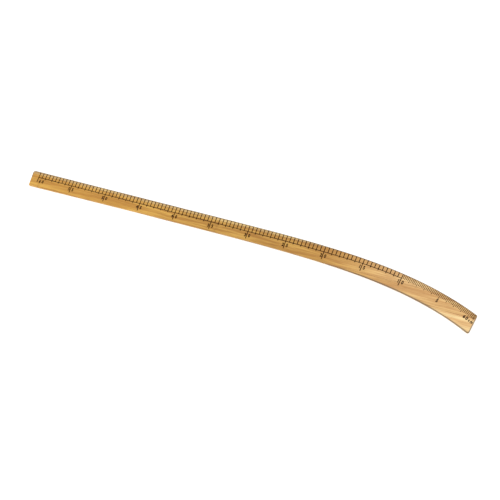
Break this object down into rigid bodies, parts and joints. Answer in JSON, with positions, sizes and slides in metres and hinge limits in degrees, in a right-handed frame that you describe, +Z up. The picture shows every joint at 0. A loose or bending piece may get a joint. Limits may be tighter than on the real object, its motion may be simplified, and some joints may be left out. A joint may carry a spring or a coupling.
{
  "type": "bamboo ruler",
  "caption": "Long flat bamboo ruler, straight at one end and bent downwards at the other, with a printed centimetre scale along its outer edge.",
  "frame": {"origin": "under the middle of the ruler's bounding box, on the surface that the ruler lies on", "axes": "+X along the straight part, from the 60 end towards the zero end; +Y across the face, towards the graduated outer edge; +Z up, out of the printed face"},
  "size_m": [0.6046, 0.0622, 0.0036],
  "materials": {
    "edge_bamboo": "smooth, thinly varnished",
    "main_bamboo": "smooth, thinly varnished",
    "inner_bamboo": "smooth, thinly varnished",
    "tip_bamboo": "smooth, thinly varnished",
    "dried_glue": "thin dark line, sanded flush",
    "scale_ink": "printed, dark brown, a little worn"
  },
  "bodies": {
    "root": {"centimetre_mark_0": "scale_ink", "centimetre_mark_1": "scale_ink", "centimetre_mark_2": "scale_ink", "centimetre_mark_3": "scale_ink", "centimetre_mark_4": "scale_ink", "centimetre_mark_5": "scale_ink", "centimetre_mark_6": "scale_ink", "centimetre_mark_7": "scale_ink", "centimetre_mark_8": "scale_ink", "centimetre_mark_9": "scale_ink", "edge_lath": "edge_bamboo", "glue_line_inner": "dried_glue", "glue_line_main": "dried_glue", "glue_line_tip": "dried_glue", "inner_lath": "inner_bamboo", "length_tens": "scale_ink", "length_units": "scale_ink", "main_lath": "main_bamboo", "numeral_10_tens": "scale_ink", "numeral_10_units": "scale_ink", "numeral_15_tens": "scale_ink", "numeral_15_units": "scale_ink", "numeral_20_tens": "scale_ink", "numeral_20_units": "scale_ink", "numeral_25_tens": "scale_ink", "numeral_25_units": "scale_ink", "numeral_30_tens": "scale_ink", "numeral_30_units": "scale_ink", "numeral_35_tens": "scale_ink", "numeral_35_units": "scale_ink", "numeral_40_tens": "scale_ink", "numeral_40_units": "scale_ink", "numeral_45_tens": "scale_ink", "numeral_45_units": "scale_ink", "numeral_5": "scale_ink", "numeral_50_tens": "scale_ink", "numeral_50_units": "scale_ink", "numeral_55_tens": "scale_ink", "numeral_55_units": "scale_ink", "numeral_60_tens": "scale_ink", "numeral_60_units": "scale_ink", "scale_ladder": "scale_ink", "tip_lath": "tip_bamboo", "unit_c": "scale_ink", "unit_m": "scale_ink"}
  },
  "joints": []
}
